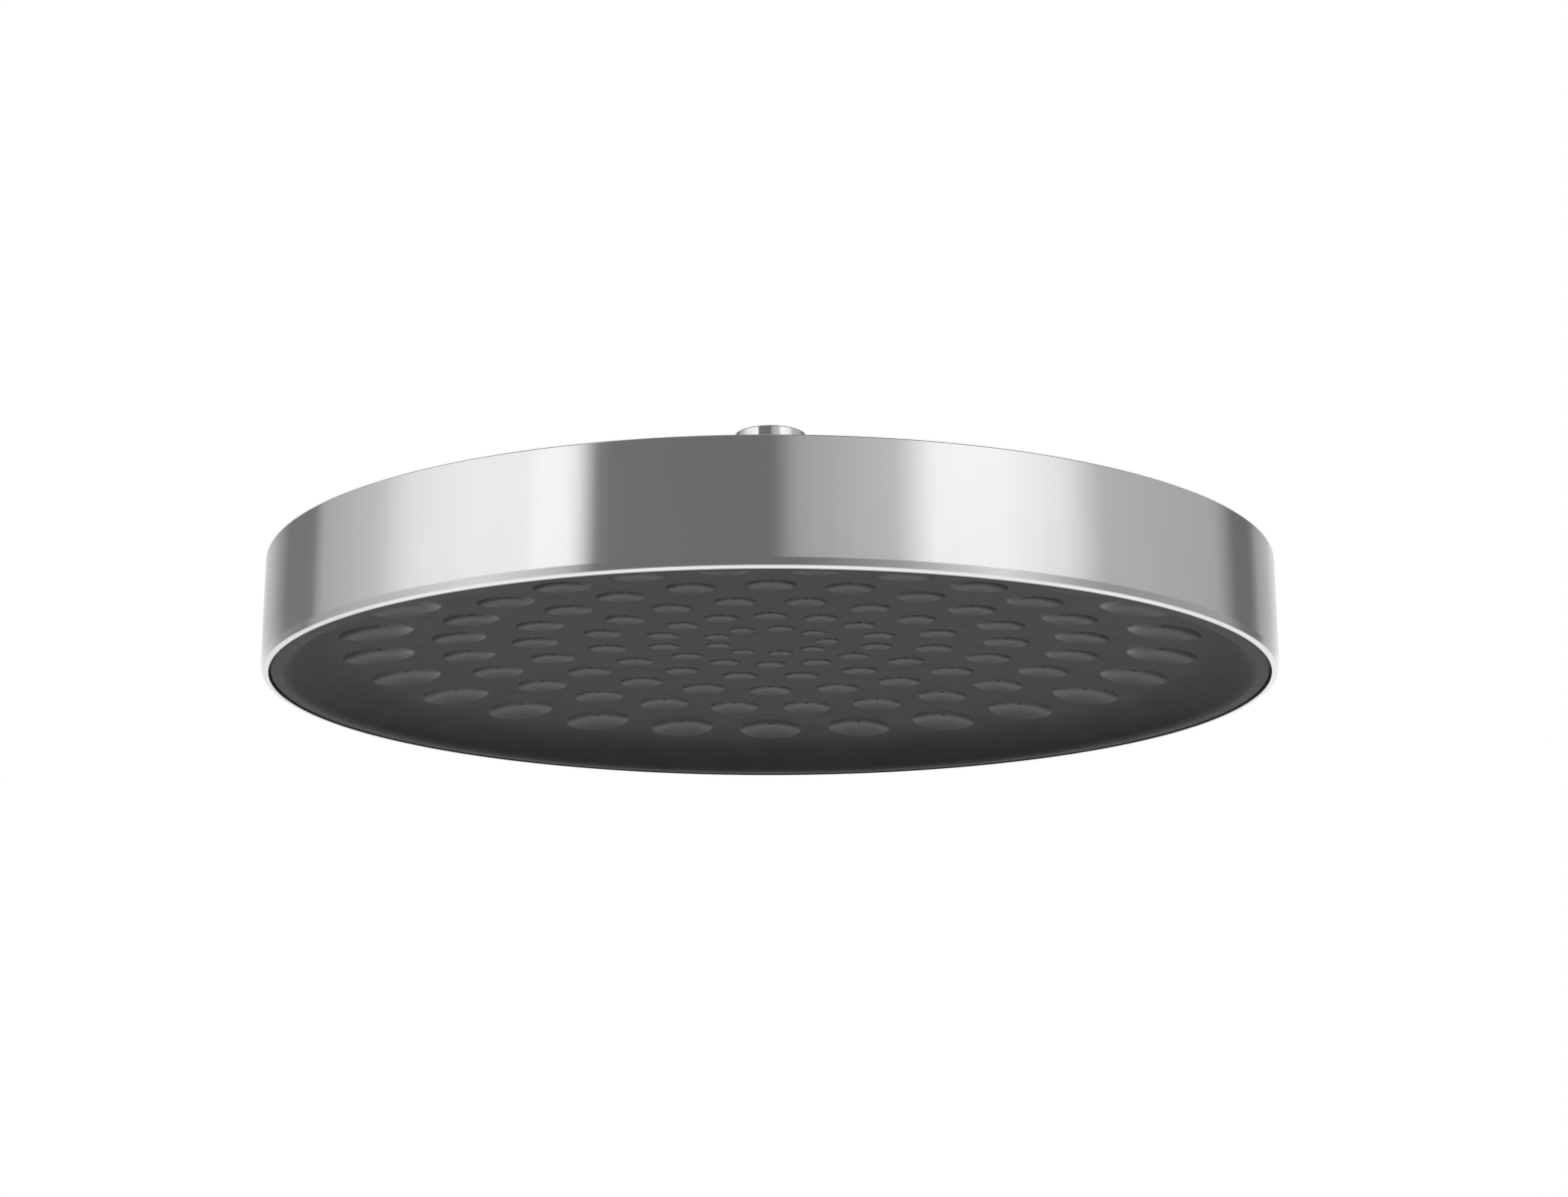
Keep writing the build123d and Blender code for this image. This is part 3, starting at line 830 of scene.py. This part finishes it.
FLOOR_SIZE = 8.0
FLOOR_Z = -1.6
FLOOR_COLOUR = (0.9, 0.9, 0.9)
WORLD_LEVEL = 0.8
LIGHTS = (
    # name, place, target, size, power
    ("key", (-1.2, -1.6, 1.6), (0, 0, -0.07), 1.4, 22),
    ("low_fill", (0.6, -1.4, -1.2), (0, 0, -0.08), 1.2, 6),
)
CAMERA_LENS = 56.75
CAMERA_SENSOR = 36.0
CAMERA_PLACE = (-0.0002, -0.8486, -0.2692)
CAMERA_ANGLES = (103.831, 0.107, -0.307)
TENT_TINT = (1.0, 1.0, 0.997, 1.0)
TENT_RADIUS = 3.0
TENT_BOTTOM = -1.59
TENT_TOP = 2.4
TENT_TOP_HOLE = 0.01
TENT_SEAM = 0.55
TENT_SEAM_BLUR = 0.05
TENT_STEP = 1.5
TENT_CEILING_LEVEL = 0.25
TENT_PANELS = (
    # from and to in degrees, front to right
    # brightness of the upper part at both ends, then of the lower part
    (-180, -152, 1.00, 0.58, 1.00, 0.84),
    (-147, -137, 0.52, 0.31, 0.72, 0.52),
    (-132, -117, 0.20, 0.21, 0.34, 0.22),
    (-113, -92, 0.46, 0.62, 0.40, 0.53),
    (-82, -66, 0.92, 1.02, 0.61, 0.80),
    (-62, -52, 1.03, 1.04, 0.80, 0.70),
    (-48, -41, 1.17, 1.12, 0.63, 0.54),
    (-36, 1, 0.19, 0.18, 0.19, 0.18),
    (5, 26, 0.43, 0.60, 0.18, 0.38),
    (34, 48, 1.14, 1.13, 0.56, 0.85),
    (54, 64, 1.06, 0.94, 0.72, 0.48),
    (74, 112, 0.53, 0.44, 0.35, 0.40),
    (121, 131, 0.17, 0.17, 0.19, 0.19),
    (136, 145, 0.39, 0.50, 0.48, 0.64),
    (152, 180, 0.69, 1.00, 0.92, 1.00),
)
BACKDROP_RADIUS = TENT_RADIUS - 0.05
BACKDROP_STEPS = 31
BACKDROP_FEATHER = 6
BACKDROP_SIDE_LEVEL = 0.5
BACKDROPS = (
    # name, reach to either side in degrees, rows of height and brightness
    ("backdrop", 15, ((TENT_BOTTOM, 0.62), (-1.14, 0.52), (-1.04, 0.06), (-0.45, 0.03))),
    ("card", 11.5, ((-0.45, 0.03), (-0.20, 0.02))),
)


def add_reflector(name, turns, rows, closed):
    """A round screen of (height, radius, brightness) rows that shows only in reflections."""
    points, faces, levels = [], [], []
    count = len(turns)
    for height, radius, row_levels in rows:
        for turn, level in zip(np.radians(turns), row_levels):
            points.append((radius * math.sin(turn), -radius * math.cos(turn), height))
            levels.extend((level, level, level, 1.0))
    for row in range(len(rows) - 1):
        for step in range(count if closed else count - 1):
            here, other = row * count + step, row * count + (step + 1) % count
            faces.append((here, other, other + count, here + count))
    mesh = bpy.data.meshes.new(name)
    mesh.from_pydata(points, [], faces)
    attribute = mesh.color_attributes.new("level", "FLOAT_COLOR", "POINT")
    attribute.data.foreach_set("color", levels)
    material = bpy.data.materials.new(name)
    material.use_nodes = True
    tree = material.node_tree
    tree.nodes.remove(tree.nodes["Principled BSDF"])
    light = tree.nodes.new("ShaderNodeEmission")
    level = tree.nodes.new("ShaderNodeAttribute")
    level.attribute_name = "level"
    light.inputs["Color"].default_value = TENT_TINT
    tree.links.new(level.outputs["Fac"], light.inputs["Strength"])
    tree.links.new(light.outputs["Emission"], tree.nodes["Material Output"].inputs["Surface"])
    mesh.materials.append(material)
    screen = bpy.data.objects.new(name, mesh)
    scene.collection.objects.link(screen)
    screen.visible_camera = False
    screen.visible_diffuse = False
    screen.visible_shadow = False
    screen.visible_transmission = False


def add_tent():
    """A round studio tent with soft-edged panels."""
    turns = np.arange(-180, 180, TENT_STEP)
    knots, above, below = [], [], []
    for start, end, above_start, above_end, below_start, below_end in TENT_PANELS:
        knots.extend((start, end))
        above.extend((above_start, above_end))
        below.extend((below_start, below_end))
    above = np.interp(turns, knots, above)
    below = np.interp(turns, knots, below)
    ceiling = np.full_like(turns, TENT_CEILING_LEVEL)
    add_reflector("tent", turns, (
        (TENT_BOTTOM, TENT_RADIUS, below),
        (TENT_SEAM - TENT_SEAM_BLUR, TENT_RADIUS, below),
        (TENT_SEAM + TENT_SEAM_BLUR, TENT_RADIUS, above),
        (TENT_TOP, TENT_RADIUS, above),
        (TENT_TOP, TENT_RADIUS, ceiling),
        (TENT_TOP, TENT_TOP_HOLE, ceiling),
    ), True)


def add_backdrops():
    """Dark screens low behind the object, with sides that fade."""
    for name, span, levels in BACKDROPS:
        turns = np.linspace(180 - span, 180 + span, BACKDROP_STEPS)
        fade = (span - BACKDROP_FEATHER, span)
        rows = []
        for height, level in levels:
            ends = (level, max(level, BACKDROP_SIDE_LEVEL))
            rows.append((height, BACKDROP_RADIUS, np.interp(abs(turns - 180), fade, ends)))
        add_reflector(name, turns, rows, False)


def camera_ray(tree):
    """1 for rays from the camera, a mirror or glass, else 0."""
    path = tree.nodes.new("ShaderNodeLightPath")
    either = tree.nodes.new("ShaderNodeMath")
    either.operation = "MAXIMUM"
    every = tree.nodes.new("ShaderNodeMath")
    every.operation = "MAXIMUM"
    tree.links.new(path.outputs["Is Camera Ray"], either.inputs[0])
    tree.links.new(path.outputs["Is Glossy Ray"], either.inputs[1])
    tree.links.new(either.outputs["Value"], every.inputs[0])
    tree.links.new(path.outputs["Is Transmission Ray"], every.inputs[1])
    return every.outputs["Value"]


def add_floor():
    """A pale floor far below the hanging head."""
    sides = ((-1, -1), (1, -1), (1, 1), (-1, 1))
    mesh = bpy.data.meshes.new("floor")
    corners = [(x * FLOOR_SIZE, y * FLOOR_SIZE, FLOOR_Z) for x, y in sides]
    mesh.from_pydata(corners, [], [(0, 1, 2, 3)])
    material, tree, shader = new_material("floor_paint", FLOOR_COLOUR, 0.8)
    paint = tree.nodes.new("ShaderNodeEmission")
    mix = tree.nodes.new("ShaderNodeMixShader")
    tree.links.new(camera_ray(tree), mix.inputs["Fac"])
    tree.links.new(shader.outputs["BSDF"], mix.inputs[1])
    tree.links.new(paint.outputs["Emission"], mix.inputs[2])
    tree.links.new(mix.outputs["Shader"], tree.nodes["Material Output"].inputs["Surface"])
    mesh.materials.append(material)
    floor = bpy.data.objects.new("floor", mesh)
    scene.collection.objects.link(floor)


def set_world():
    """White behind the object and in its reflections, and a plain soft light on it."""
    world = bpy.data.worlds.new("studio")
    world.use_nodes = True
    scene.world = world
    tree = world.node_tree
    back = tree.nodes["Background"]
    strength = tree.nodes.new("ShaderNodeMapRange")
    strength.inputs["To Min"].default_value = WORLD_LEVEL
    strength.inputs["To Max"].default_value = 1.0
    tree.links.new(camera_ray(tree), strength.inputs["Value"])
    back.inputs["Color"].default_value = (1, 1, 1, 1)
    tree.links.new(strength.outputs["Result"], back.inputs["Strength"])


def add_light(name, place, target, size, power):
    """A square soft light."""
    data = bpy.data.lights.new(name, "AREA")
    data.shape = "SQUARE"
    data.size = size
    data.energy = power
    lamp = bpy.data.objects.new(name, data)
    lamp.location = place
    lamp.rotation_euler = (Vector(target) - Vector(place)).to_track_quat("-Z", "Y").to_euler()
    lamp.visible_glossy = False
    scene.collection.objects.link(lamp)


def add_camera():
    """The photograph's view: a little below the rim, looking up."""
    data = bpy.data.cameras.new("view")
    data.lens = CAMERA_LENS
    data.sensor_width = CAMERA_SENSOR
    camera = bpy.data.objects.new("view", data)
    camera.location = CAMERA_PLACE
    camera.rotation_euler = [math.radians(angle) for angle in CAMERA_ANGLES]
    scene.collection.objects.link(camera)
    scene.camera = camera


add_tent()
add_backdrops()
add_floor()
set_world()
for light_settings in LIGHTS:
    add_light(*light_settings)
add_camera()
scene.view_settings.view_transform = "Standard"
